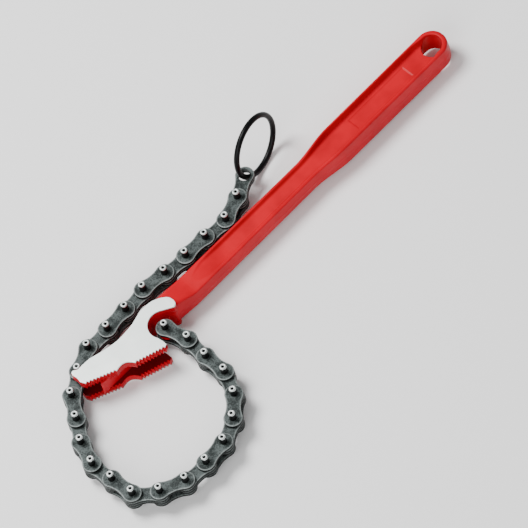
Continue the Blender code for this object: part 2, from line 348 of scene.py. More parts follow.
@dataclass(frozen=True)
class Finish:
    """What every finish has: a name, a base colour and how light leaves it."""

    name: str
    colour: str
    roughness: float
    metallic: float = 0.0
    specular: float = 0.5
    ior: float = 1.5
    gloss_span: Point = (0.0, 0.0)

    def start(self) -> tuple[bpy.types.Material, bpy.types.NodeTree, bpy.types.Node]:
        """Make the material with its constant values set on the shader.

        Returns:
            The material, its node tree and its shader node.
        """
        made = bpy.data.materials.new(self.name)
        made.use_nodes = True
        tree = made.node_tree
        shader = tree.nodes["Principled BSDF"]
        shader.inputs["Base Color"].default_value = linear(self.colour)
        shader.inputs["Roughness"].default_value = self.roughness
        shader.inputs["Metallic"].default_value = self.metallic
        shader.inputs["Specular IOR Level"].default_value = self.specular
        shader.inputs["IOR"].default_value = self.ior
        return made, tree, shader

    def noise(self, tree: bpy.types.NodeTree, size_mm: float, detail: float = 2.0,
              stretch: tuple[float, float, float] = (1.0, 1.0, 1.0)) -> bpy.types.NodeSocket:
        """Noise in the object's own space.

        Args:
            tree: the node tree.
            size_mm: real size of one grain.
            detail: finer layers.
            stretch: how much faster it varies along X, Y and Z.

        Returns:
            The noise's factor socket.
        """
        where = add_node(tree, "ShaderNodeTexCoord").outputs["Object"]
        scaled = add_node(tree, "ShaderNodeMapping", {"Vector": where, "Scale": stretch})
        grain = add_node(tree, "ShaderNodeTexNoise",
                         {"Vector": scaled.outputs["Vector"], "Scale": 1 / (size_mm * MM),
                          "Detail": detail})
        return grain.outputs["Fac"]

    def press(self, tree: bpy.types.NodeTree, shader: bpy.types.Node,
              *layers: tuple[bpy.types.NodeSocket, Relief]) -> None:
        """Give the surface a relief of real depth.

        Args:
            tree: the node tree.
            shader: the shader that gets the relief.
            layers: patterns with their reliefs, the coarsest first.
        """
        under = {}
        for pattern, relief in layers:
            inputs = {"Height": pattern, "Distance": relief.depth_mm * MM, "Strength": relief.strength}
            pressed = add_node(tree, "ShaderNodeBump", inputs | under)
            under = {"Normal": pressed.outputs["Normal"]}
        tree.links.new(under["Normal"], shader.inputs["Normal"])

    def vary_gloss(self, tree: bpy.types.NodeTree, shader: bpy.types.Node,
                   pattern: bpy.types.NodeSocket) -> None:
        """Let the roughness wander by the gloss span.

        Args:
            tree: the node tree.
            shader: the shader whose roughness varies.
            pattern: what it varies with.
        """
        least, most = (self.roughness + change for change in self.gloss_span)
        gloss = add_node(tree, "ShaderNodeMapRange", {"Value": pattern, "To Min": least, "To Max": most})
        tree.links.new(gloss.outputs["Result"], shader.inputs["Roughness"])


@dataclass(frozen=True)
class RedEnamel(Finish):
    """Stoving enamel sprayed over a hammer-forged and shot-blasted handle."""

    name: str = "red_stoving_enamel_on_forging"
    colour: str = "#BE041C"
    roughness: float = 0.3
    specular: float = 0.1
    gloss_span: Point = (-0.04, 0.06)
    shadow_colour: str = "#AE0417"
    # Painted shade: the colour that darkens the cheek faces inside the chain slot.
    slot_shade_colour: str = "#62060C"
    tone_span: Point = (0.3, 0.6)
    forging_mm: float = 14.0
    forging_relief: Relief = Relief(depth_mm=0.3, strength=0.3)
    peel_mm: float = 2.4
    peel_relief: Relief = Relief(depth_mm=0.02, strength=0.2)

    def build(self) -> bpy.types.Material:
        """Satin coat whose highlights bend over slow forging waves; painted shade darkens the cheek faces
        in the chain slot.

        Returns:
            The material.
        """
        made, tree, shader = self.start()
        waves = self.noise(tree, self.forging_mm)
        peel = self.noise(tree, self.peel_mm, detail=3.0)
        tone = add_node(tree, "ShaderNodeValToRGB", {"Fac": waves},
                        tuple(zip(self.tone_span, (self.shadow_colour, self.colour))))
        # Painted shade darkens the cheek faces that look into the chain slot.
        slot_shade = add_node(tree, "ShaderNodeAttribute", attribute_name="slot_shade")
        slot_shaded = add_node(tree, "ShaderNodeMix",
                         {"Factor": slot_shade.outputs["Fac"], "A": tone.outputs["Color"],
                          "B": linear(self.slot_shade_colour)}, data_type="RGBA")
        tree.links.new(slot_shaded.outputs["Result"], shader.inputs["Base Color"])
        self.vary_gloss(tree, shader, peel)
        self.press(tree, shader, (waves, self.forging_relief), (peel, self.peel_relief))
        return made


@dataclass(frozen=True)
class GroundSteel(Finish):
    """Carbon steel ground flat after painting and wiped with clear lacquer."""

    name: str = "ground_carbon_steel_face"
    colour: str = "#E3E8E5"
    roughness: float = 0.5
    metallic: float = 0.85
    gloss_span: Point = (-0.08, 0.1)
    dull_colour: str = "#D8DEDB"
    tone_span: Point = (0.35, 0.65)
    cloud_mm: float = 14.0
    line_mm: float = 0.5
    line_stretch: tuple[float, float, float] = (0.04, 1.0, 1.0)
    line_relief: Relief = Relief(depth_mm=0.01, strength=0.25)

    def build(self) -> bpy.types.Material:
        """Pale satin face: grinding lines run along the tool, drawn coarser than real to show at all.

        Returns:
            The material.
        """
        made, tree, shader = self.start()
        lines = self.noise(tree, self.line_mm, stretch=self.line_stretch)
        clouds = self.noise(tree, self.cloud_mm)
        tone = add_node(tree, "ShaderNodeValToRGB", {"Fac": clouds},
                        tuple(zip(self.tone_span, (self.dull_colour, self.colour))))
        tree.links.new(tone.outputs["Color"], shader.inputs["Base Color"])
        self.vary_gloss(tree, shader, lines)
        self.press(tree, shader, (lines, self.line_relief))
        return made


@dataclass(frozen=True)
class ChainPlateSteel(Finish):
    """Blanked medium-carbon steel plate, hardened, blackened by its heat treatment and oiled."""

    name: str = "heat_blackened_plate_steel"
    colour: str = "#4C5352"
    roughness: float = 0.5
    metallic: float = 0.2
    specular: float = 0.15
    scale_colour: str = "#1F2524"
    # Partly wear and partly painted highlight: the lighter colour of the plates' rims.
    wear_and_highlight_colour: str = "#A6AEAC"
    # Painted shade: near-black colour of the plates' side walls.
    wall_shade_colour: str = "#060807"
    tone_span: Point = (0.43, 0.57)
    grain_mm: float = 0.8
    grain_relief: Relief = Relief(depth_mm=0.06, strength=0.5)
    blotch_mm: float = 5.0
    blotch_lift: float = 0.25

    def build(self) -> bpy.types.Material:
        """Green-grey mottled skin, side walls painted near-black as shade, and rims lightened where they
        roll over, partly by wear and partly as painted highlight.

        Returns:
            The material.
        """
        made, tree, shader = self.start()
        grain = self.noise(tree, self.grain_mm, detail=4.0)
        blotches = self.noise(tree, self.blotch_mm)
        mixed = add_node(tree, "ShaderNodeMath", {0: grain, 1: blotches, 2: self.blotch_lift},
                         operation="MULTIPLY_ADD")
        skin = add_node(tree, "ShaderNodeValToRGB", {"Fac": mixed.outputs["Value"]},
                        tuple(zip(self.tone_span, (self.scale_colour, self.colour))))
        rim = add_node(tree, "ShaderNodeAttribute", attribute_name="rim").outputs["Fac"]
        # Painted shade: the side walls, marked -1, turn near-black.
        wall = add_node(tree, "ShaderNodeMath", {0: rim, 1: -1.0}, operation="MULTIPLY", use_clamp=True)
        wall_shaded = add_node(tree, "ShaderNodeMix",
                       {"Factor": wall.outputs["Value"], "A": skin.outputs["Color"],
                        "B": linear(self.wall_shade_colour)}, data_type="RGBA")
        # The rims, marked above 0, lighten partly by wear and partly as painted highlight.
        rim_wear_and_highlight = add_node(tree, "ShaderNodeMath", {0: rim, 1: grain}, operation="MULTIPLY", use_clamp=True)
        tone = add_node(tree, "ShaderNodeMix",
                        {"Factor": rim_wear_and_highlight.outputs["Value"], "A": wall_shaded.outputs["Result"],
                         "B": linear(self.wear_and_highlight_colour)}, data_type="RGBA")
        tree.links.new(tone.outputs["Result"], shader.inputs["Base Color"])
        self.press(tree, shader, (grain, self.grain_relief))
        return made


@dataclass(frozen=True)
class PinShaft(Finish):
    """Case-hardened round bar, blackened and oiled."""

    name: str = "blackened_pin_shaft"
    colour: str = "#0A0C0C"
    roughness: float = 0.45
    metallic: float = 0.1
    specular: float = 0.2
    line_mm: float = 0.5
    line_stretch: tuple[float, float, float] = (0.3, 0.3, 1.0)
    line_relief: Relief = Relief(depth_mm=0.02, strength=0.3)

    def build(self) -> bpy.types.Material:
        """Near-black shaft whose drawn lines run around it as a faint grain, coarser than real to show.

        Returns:
            The material.
        """
        made, tree, shader = self.start()
        lines = self.noise(tree, self.line_mm, stretch=self.line_stretch)
        self.press(tree, shader, (lines, self.line_relief))
        return made


@dataclass(frozen=True)
class PinEnd(Finish):
    """Pin end turned and centre-drilled after hardening, left bright."""

    name: str = "bright_turned_pin_end"
    colour: str = "#C6CCCA"
    roughness: float = 0.46
    metallic: float = 0.85
    mark_mm: float = 0.35
    mark_relief: Relief = Relief(depth_mm=0.015, strength=0.3)

    def build(self) -> bpy.types.Material:
        """Bright dome with faint tool marks, drawn coarser than real to show.

        Returns:
            The material.
        """
        made, tree, shader = self.start()
        self.press(tree, shader, (self.noise(tree, self.mark_mm), self.mark_relief))
        return made


@dataclass(frozen=True)
class BlackWire(Finish):
    """Drawn steel wire, blackened and oiled."""

    name: str = "blackened_steel_wire"
    colour: str = "#060708"
    roughness: float = 0.34
    specular: float = 0.14
    gloss_span: Point = (-0.08, 0.1)
    mottle_mm: float = 1.2
    mottle_relief: Relief = Relief(depth_mm=0.02, strength=0.25)

    def build(self) -> bpy.types.Material:
        """Black satin wire with a slight mottle.

        Returns:
            The material.
        """
        made, tree, shader = self.start()
        mottle = self.noise(tree, self.mottle_mm, detail=3.0)
        self.vary_gloss(tree, shader, mottle)
        self.press(tree, shader, (mottle, self.mottle_relief))
        return made


@dataclass(frozen=True)
class PaperFloor(Finish):
    """Matt white background paper."""

    name: str = "white_background_paper"
    colour: str = "#F7F7F7"
    roughness: float = 0.9

    def build(self) -> bpy.types.Material:
        """Plain matt white."""
        return self.start()[0]


# Centres of the chain's pins and of the ring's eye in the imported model, in the chain's order
PINS = [Vector(joint["pos_m"]) / MM for joint in frame["joints"]]
ANCHOR = PINS[0]
MIDDLE = ANCHOR.z


@dataclass
class Forging:
    """Handle and head, forged in one, with the two ground faces of its cheeks."""

    body: str = "handle"
    slot: str = "red_enamel"

    # The head, whose shares are taken of its span from nose to anchor pin and of its depth
    hook_number: int = 17
    head_depth: float = 28.4
    head_shift: Point = (0.35, 0.65)
    face_height: float = 10.75
    face_root: float = 1.2
    face_inset: float = 0.13
    face_edge: Sequence[Point] = ((0.0, 0.22), (0.05, 0.06), (0.15, 0.0))
    enamel_height: float = 9.95
    edge_round: float = 0.2
    edge_share: float = 0.3
    slot_half: float = 5.0
    tooth_pitch: float = 2.1
    tooth_depth: float = 1.15
    tooth_roots: Point = (0.45, 0.55)
    arch_depth: float = 3.0
    arch_steps: int = 14
    notch_radius: float = 9.1
    notch_shift: Point = (-1.05, -1.05)
    notch_turn: Point = (205.0, 50.0)
    notch_steps: int = 28
    lug_radius: float = 4.6
    lug_half: float = 2.175
    lug_turn: Point = (155.0, 335.0)
    lug_steps: int = 20
    strap_turn: float = 65.0
    seat_radius: float = 2.35
    web_lap: float = 0.4
    back_shares: Sequence[Point] = ((0.187, 0.430), (0.10, 0.505), (-0.02, 0.535), (-0.11, 0.515),
                                    (-0.26, 0.445), (-0.47, 0.422), (-0.61, 0.460), (-0.72, 0.508),
                                    (-0.855, 0.583))
    seat_shares: Sequence[Point] = ((1.5, -1.0), (-0.55, -1.0), (-1.6, -0.16), (-2.2, -0.36))
    nose_shares: Sequence[Point] = ((-1.122, 0.585), (-1.117, 0.472), (-1.131, 0.345))
    left_jaw_shares: Sequence[Point] = ((-1.104, 0.225), (-0.776, -0.062))
    right_jaw_shares: Sequence[Point] = ((-0.568, -0.243), (-0.225, -0.468))
    point_shares: Sequence[Point] = ((-0.181, -0.435), (-0.179, -0.330))
    finger_shares: Sequence[Point] = ((0.177, 0.077), (0.214, 0.042), (0.254, 0.081), (0.270, 0.194),
                                      (0.252, 0.317), (0.187, 0.430))
    web_shares: Sequence[Point] = ((-0.82, 0.56), (-0.82, 0.42), (-0.90, 0.18), (-0.952, 0.066),
                                   (-0.50, 0.046), (-0.27, 0.020), (-0.19, 0.010))
    curve_steps: int = 4
    nose_steps: int = 3

    # The handle, from its thick root over the shank to the grip with the hang hole
    handle_offset: float = 8.25
    handle_tilt: float = -0.5
    handle_lap: float = 4.0
    hole_reach: float = 231.0
    hole_radius: float = 6.35
    hole_sides: int = 72
    shank_half_width: float = 8.1
    neck_half_width: float = 7.75
    grip_half_width: float = 9.9
    root_half_height: float = 9.8
    shank_half_height: float = 6.2
    grip_half_height: float = 8.05
    root_span: Point = (11.5, 29.0)
    root_rise: float = 0.538
    root_lap: float = 0.5
    taper_shares: Point = (0.535, 0.657)
    root_round: float = 2.6
    shank_round: float = 0.8
    grip_round: float = 1.2
    round_limit: float = 0.3
    round_steps: int = 4
    shank_side_draft: float = 7.0
    grip_side_draft: float = 3.5
    parting_half: float = 0.1
    station_gap: float = 2.0
    end_steps: int = 24
    end_gap: float = 0.01

    # The recess between the flanges and the plain panel in its floor
    web_half: float = 4.0
    shank_flange: float = 2.2
    grip_flange: float = 2.0
    end_flange: float = 3.2
    flange_span: float = 10.0
    draft: float = 0.7
    shank_hollow: float = 0.4
    recess_start: float = 31.0
    recess_ramp: float = 30.0
    recess_tip: float = 14.0
    tip_share: float = 0.3
    least_depth: float = 0.02
    least_half: float = 0.001
    fillet_share: float = 0.45
    fillet_rise: float = 0.4
    recess_gap: float = 0.05
    cutter_reach: float = 1.0
    panel_length: float = 45.5
    panel_width: float = 9.0
    panel_gap: float = 14.0
    panel_depth: float = 0.4

    # The skin that joins all of them
    voxel: float = 0.3
    crease_angle: float = 40.0
    soft_factor: float = 0.5
    soft_rounds: int = 2
    handle_soft_rounds: int = 5
    handle_soft_span: float = 8.0

    def __post_init__(self) -> None:
        """Find the hooked pin, the span that the head's shares are taken of, and the hang hole."""
        self.hook = PINS[self.hook_number - 1].to_2d()
        self.anchor = ANCHOR.to_2d()
        self.span = self.anchor.x - self.hook.x
        self.hole = self.along(self.anchor.x + self.hole_reach, 0.0)

    def along(self, x: float, across: float) -> Vector:
        """Place beside the handle's own middle line, which is tilted a little."""
        tilt = math.tan(math.radians(self.handle_tilt))
        return Vector((x, self.anchor.y + self.handle_offset + tilt * (x - self.anchor.x) + across))

    def at(self, share: Point) -> Vector:
        """Place of a share of the head's span and depth."""
        start = self.anchor + Vector(self.head_shift)
        return start + Vector((share[0] * self.span, share[1] * self.head_depth))

    def curve(self, shares: Sequence[Point]) -> list[Vector]:
        """Curve through the places of some shares."""
        return smooth_through([self.at(share) for share in shares], self.curve_steps)

    def teeth(self, shares: Sequence[Point]) -> list[Vector]:
        """Saw teeth along one jaw.

        Args:
            shares: first and last tip, as shares.

        Returns:
            The jaw's points: tips on the line between the shares, roots inside it.
        """
        start, end = (self.at(share) for share in shares)
        count = round((end - start).length / self.tooth_pitch)
        step = (end - start) / count
        inward = Vector((-step.y, step.x)).normalized() * self.tooth_depth
        points = []
        for index in range(count):
            tip = start + index * step
            points += [tip, *(tip + share * step + inward for share in self.tooth_roots)]
        return points + [end]

    def arch(self) -> list[Vector]:
        """Round hollow between the two jaws.

        Returns:
            Its points, without the jaws' own.
        """
        start, end = self.at(self.left_jaw_shares[1]), self.at(self.right_jaw_shares[0])
        across = end - start
        inward = Vector((-across.y, across.x)).normalized() * self.arch_depth
        steps = self.arch_steps
        return [start + across * step / steps + inward * math.sin(math.pi * step / steps)
                for step in range(1, steps)]

    def notch(self) -> list[Vector]:
        """Round wall of the notch, from the lower point over its top to the finger."""
        centre = self.anchor + Vector(self.notch_shift)
        return arc(centre, self.notch_radius, *self.notch_turn, self.notch_steps)

    def cheek_outline(self) -> list[Vector]:
        """Outline of a cheek, with the notch cut out of it.

        Returns:
            Its points, counter-clockwise.
        """
        outline = self.curve(self.back_shares)
        seat = [self.hook + self.seat_radius * Vector(share) for share in self.seat_shares]
        outline += [seat[0], *smooth_through(seat[1:3], self.curve_steps)]
        nose = [seat[3], *(self.at(share) for share in self.nose_shares)]
        outline += smooth_through(nose, self.nose_steps)
        outline += self.teeth(self.left_jaw_shares) + self.arch() + self.teeth(self.right_jaw_shares)
        outline += [self.at(share) for share in self.point_shares]
        return outline + self.notch() + self.curve(self.finger_shares)[:-1]

    def web_outline(self) -> list[Vector]:
        """Outline of the solid middle that joins the cheeks behind the jaws.

        Returns:
            Its points, counter-clockwise.
        """
        front = [self.at(share) for share in self.web_shares]
        outline = [point for point in self.curve(self.back_shares) if point.x > front[0].x]
        outline += [*front[:2], *smooth_through(front[1:], self.curve_steps)[1:]]
        outline += [point for point in self.notch() if point.y > front[-1].y]
        return outline + self.curve(self.finger_shares)[:-1]

    def lug_outline(self) -> list[Vector]:
        """Outline of the lug that carries the anchor pin, with its strap up into the solid middle.

        Returns:
            Its points, counter-clockwise.
        """
        round_end = arc(self.anchor, self.lug_radius, *self.lug_turn, self.lug_steps)
        strap = self.notch_radius * direction(self.strap_turn, 0.0).to_2d()
        return round_end + [round_end[-1] + strap, round_end[0] + strap]

    def taper(self) -> Point:
        """Start and end of the widening from shank to grip, along X."""
        return tuple(self.anchor.x + share * self.hole_reach for share in self.taper_shares)

    def root(self, x: float) -> float:
        """Share of the thick root at a distance along the handle, from 1 at the head to 0."""
        return 1 - ease(self.anchor.x + self.root_span[0], self.anchor.x + self.root_span[1], x)

    def grip(self, x: float) -> float:
        """Share of the grip at a distance along the handle, from 0 on the shank to 1."""
        return ease(*self.taper(), x)

    def half_width(self, x: float) -> float:
        """Half the handle's width.

        Args:
            x: distance along the handle.

        Returns:
            Half the width there, round past the hang hole.
        """
        start = self.taper()[0]
        shank = min(max((x - self.anchor.x) / (start - self.anchor.x), 0.0), 1.0)
        half = self.shank_half_width + (self.neck_half_width - self.shank_half_width) * shank
        half += (self.grip_half_width - self.neck_half_width) * self.grip(x)
        past = x - self.hole.x
        return math.sqrt(max(half ** 2 - past ** 2, 0.0)) if past > 0 else half

    def half_height(self, x: float) -> float:
        """Half the handle's thickness at a distance along it."""
        return (self.shank_half_height + (self.root_half_height - self.shank_half_height) * self.root(x)
                + (self.grip_half_height - self.shank_half_height) * self.grip(x))

    def stations(self, start: float, end: float) -> list[float]:
        """Places along the handle, close together towards its round end.

        Args:
            start: the first place.
            end: the last place, past the hang hole's centre.

        Returns:
            The places, both ends included.
        """
        straight = self.hole.x
        count = int((straight - start) / self.station_gap)
        places = [start + (straight - start) * step / count for step in range(count)]
        return places + [straight + (end - straight) * math.sin(math.pi / 2 * step / self.end_steps)
                         for step in range(self.end_steps + 1)]

    def handle_solid(self) -> bmesh.types.BMesh:
        """Handle without its recesses, as sections from the root to the round end.

        Returns:
            The closed solid.
        """
        shape = bmesh.new()
        corner = self.at(self.finger_shares[1])
        end = self.hole.x + self.grip_half_width - self.end_gap
        rings = []
        for x in self.stations(corner.x - self.handle_lap, end):
            half, height = self.half_width(x), self.half_height(x)
            low, high = self.along(x, -half).y, self.along(x, half).y
            if x < self.hole.x / 2:
                low += self.root_rise * (height - self.shank_half_height)
                low = low if x > corner.x - self.root_lap else self.along(x, 0.0).y
            rings.append(ring_verts(shape, self.rounded_section(x, low, high, height)))
        close_sections(shape, rings)
        return shape

    def rounded_section(self, x: float, low: float, high: float, height: float) -> list[Vector]:
        """Section across the handle with drafted sides and rounded edges.

        Args:
            x: distance along the handle.
            low: Y of its near side.
            high: Y of its far side.
            height: half its thickness.

        Returns:
            Points round the section; past the hang hole the rounding points to the hole's centre.
        """
        past_hole = x > self.hole.x
        rounding = self.shank_round + (self.grip_round - self.shank_round) * self.grip(x)
        rounding += (self.root_round - self.shank_round) * self.root(x)
        if x < self.hole.x:
            rounding = min(rounding, self.round_limit * (high - low))
        slope = math.tan(math.radians(
            self.shank_side_draft + (self.grip_side_draft - self.shank_side_draft) * self.grip(x)))
        section = []
        for side, upward in ((low, -1), (high, -1), (high, 1), (low, 1)):
            edge = Vector((x, side))
            inward = Vector((0, 1 if side == low else -1))
            if past_hole:
                inward = (self.hole - edge).normalized()
            quarter = [edge.to_3d() + Vector((0, 0, upward * self.parting_half))]
            for step in range(self.round_steps + 1):
                turn = math.pi / 2 * step / self.round_steps
                level = height - rounding * (1 - math.sin(turn))
                moved = edge + (slope * level + rounding * (1 - math.cos(turn))) * inward
                quarter.append(moved.to_3d() + Vector((0, 0, upward * level)))
            section += quarter if (side == low) == (upward < 0) else list(reversed(quarter))
        return section

    def recess_solid(self, side: Side) -> bmesh.types.BMesh:
        """Long tapered cutter between the flanges of one face.

        Args:
            side: which face of the handle.

        Returns:
            The closed solid.
        """
        shape = bmesh.new()
        rings = []
        start = self.anchor.x + self.recess_start
        end = self.hole.x + self.grip_half_width - self.end_flange - self.draft - self.recess_gap
        for x in self.stations(start, end):
            sunk = ease(start, start + self.recess_ramp, x)
            depth = self.least_depth + (self.half_height(x) - self.web_half) * sunk
            floor, top = self.half_height(x) - depth, self.half_height(x) + self.cutter_reach
            flange = self.shank_flange + (self.grip_flange - self.shank_flange) * self.grip(x)
            widened = ease(self.hole.x - self.flange_span, self.hole.x, x)
            flange += (self.end_flange - self.grip_flange) * widened
            draft = self.draft + self.shank_hollow * (1 - self.grip(x))
            inner = self.half_width(x) - flange - draft
            if x > self.hole.x:
                radius = end + self.recess_gap - self.hole.x
                inner = math.sqrt(max(radius ** 2 - (x - self.hole.x) ** 2, self.least_half))
            elif x < start + self.recess_tip:
                opened = ease(start, start + self.recess_tip, x)
                inner *= math.sqrt(self.tip_share + (1 - self.tip_share) * opened)
            fillet = self.fillet_share * draft
            foot = floor + fillet * self.fillet_rise
            outer = inner + draft * (1 + self.cutter_reach / max(depth, self.cutter_reach))
            section = [(-inner + fillet, floor), (inner - fillet, floor), (inner, foot),
                       (outer, top), (-outer, top), (-inner, foot)]
            rings.append(ring_verts(shape, [
                self.along(x, y).to_3d() + Vector((0, 0, side.value * z)) for y, z in section]))
        close_sections(shape, rings)
        return shape

    def panel_solid(self, side: Side) -> bmesh.types.BMesh:
        """Cutter for the shallow plain panel in the floor of the grip's recess.

        Args:
            side: which face of the handle.

        Returns:
            The closed solid.
        """
        end = self.hole.x - self.hole_radius - self.panel_gap
        start = end - self.panel_length
        half = self.panel_width / 2
        outline = [self.along(x, y) for x, y in ((start, -half), (end, -half), (end, half), (start, half))]
        heights = (self.web_half - self.panel_depth, self.web_half + self.cutter_reach)
        return self.prism(outline, *sorted(side.value * height for height in heights))

    @staticmethod
    def prism(outline: Sequence[Vector], low: float, high: float) -> bmesh.types.BMesh:
        """Closed solid of an outline between two heights.

        Args:
            outline: the outline's points.
            low: its lower height.
            high: its upper height.

        Returns:
            The closed solid.
        """
        shape = bmesh.new()
        close_levels(shape, [level_ring(shape, outline, height) for height in (low, high)])
        return shape

    @staticmethod
    def working_object(name: str, shape: bmesh.types.BMesh) -> bpy.types.Object:
        """Put a closed solid in the scene as a working object.

        Args:
            name: the object's name.
            shape: the solid, which is freed.

        Returns:
            The object.
        """
        bmesh.ops.recalc_face_normals(shape, faces=shape.faces)
        mesh = bpy.data.meshes.new(name)
        shape.to_mesh(mesh)
        shape.free()
        made = bpy.data.objects.new(name, mesh)
        bpy.context.scene.collection.objects.link(made)
        return made

    def combine(self, target: bpy.types.Object, shape: bmesh.types.BMesh, operation: str) -> None:
        """Join a solid to the target, or cut it out, and apply the change.

        Args:
            target: the object that changes.
            shape: the solid, which is freed.
            operation: UNION or DIFFERENCE.
        """
        tool = self.working_object("forging_tool", shape)
        change = target.modifiers.new("forging_tool", "BOOLEAN")
        change.operation = operation
        change.solver = "EXACT"
        change.object = tool
        self.apply(target)
        bpy.data.objects.remove(tool)

    @staticmethod
    def apply(target: bpy.types.Object) -> None:
        """Replace the target's mesh by what its modifiers give.

        Args:
            target: the object that changes.
        """
        bpy.context.view_layer.update()
        seen = target.evaluated_get(bpy.context.evaluated_depsgraph_get())
        target.data = bpy.data.meshes.new_from_object(seen)
        target.modifiers.clear()

    def soften(self, target: bpy.types.Object) -> None:
        """Remesh the joined solids evenly and round their edges, most of all along the handle.

        Args:
            target: the object that changes.
        """
        remesh = target.modifiers.new("even_skin", "REMESH")
        remesh.mode = "VOXEL"
        remesh.voxel_size = self.voxel
        self.apply(target)
        handle = target.vertex_groups.new(name="handle")
        head_end = self.at(self.finger_shares[3]).x
        for vertex in target.data.vertices:
            weight = ease(head_end, head_end + self.handle_soft_span, vertex.co.x)
            if weight > 0:
                handle.add([vertex.index], weight, "REPLACE")
        for name, group, rounds in (("all_over", "", self.soft_rounds),
                                    ("along_the_handle", "handle", self.handle_soft_rounds)):
            smooth = target.modifiers.new(name, "SMOOTH")
            smooth.factor = self.soft_factor
            smooth.iterations = rounds
            smooth.vertex_group = group
        self.apply(target)

    def build_forging(self, enamel: bpy.types.Material) -> None:
        """Make the enamelled forging.

        Args:
            enamel: its finish.
        """
        target = self.working_object("handle_forging_draft", self.handle_solid())
        for side in Side:
            self.combine(target, self.recess_solid(side), "DIFFERENCE")
            self.combine(target, self.panel_solid(side), "DIFFERENCE")
        tall = 2 * self.face_height
        hole = circle(self.hole, self.hole_radius, self.hole_sides)
        self.combine(target, self.prism(hole, -tall, tall), "DIFFERENCE")
        web_half = self.slot_half + self.web_lap
        for half, outline in ((web_half, self.web_outline()), (self.lug_half, self.lug_outline())):
            self.combine(target, self.prism(outline, -half, half), "UNION")
        self.soften(target)
        result = bmesh.new()
        result.from_mesh(target.data)
        for side in Side:
            self.add_cheek(result, side)
        bmesh.ops.translate(result, vec=(0, 0, MIDDLE), verts=result.verts)
        bpy.data.objects.remove(target)
        mesh = new_mesh("handle_forging", result, angle=self.crease_angle)
        place("handle_forging", mesh, self.body, ["handle"], [enamel])

    def add_cheek(self, shape: bmesh.types.BMesh, side: Side) -> None:
        """Add one toothed cheek with crisp teeth, narrow rounded edges and painted shade on its inner
        face, which looks into the chain slot.

        Args:
            shape: the forging's bmesh.
            side: which cheek.
        """
        layers = shape.verts.layers.float
        slot_shade = layers.get("slot_shade") or layers.new("slot_shade")
        outline = self.cheek_outline()
        chamfer = self.edge_share * self.edge_round
        edge = ((self.edge_round, 0.0), (chamfer, chamfer), (0.0, self.edge_round))
        levels = [(inset, self.slot_half + rise) for inset, rise in edge]
        levels += [(inset, self.enamel_height - drop) for inset, drop in reversed(edge)]
        rings = []
        for inset, height in levels:
            points = drawn_in(outline, inset) if inset else outline
            rings.append(level_ring(shape, points, side.value * height))
        # Painted shade: mark the cheek's face towards the chain slot for darkening.
        for vertex in rings[0]:
            vertex[slot_shade] = 1.0
        close_levels(shape, rings, side.value)

    def build_face(self, side: Side, steel: bpy.types.Material) -> None:
        """Make the ground face of one cheek, which stands a little proud of the enamel.

        Args:
            side: which cheek.
            steel: its finish.
        """
        shape = bmesh.new()
        outline = self.cheek_outline()
        levels = [(self.face_inset, self.enamel_height - self.face_root)]
        levels += [(self.face_inset + inset, self.face_height - drop) for inset, drop in self.face_edge]
        rings = [level_ring(shape, drawn_in(outline, inset), MIDDLE + side.value * height)
                 for inset, height in levels]
        close_levels(shape, rings, side.value)
        name = f"{side.name.lower()}_cheek_face"
        weighted(place(name, new_mesh(name, shape), self.body, ["handle"], [steel]))


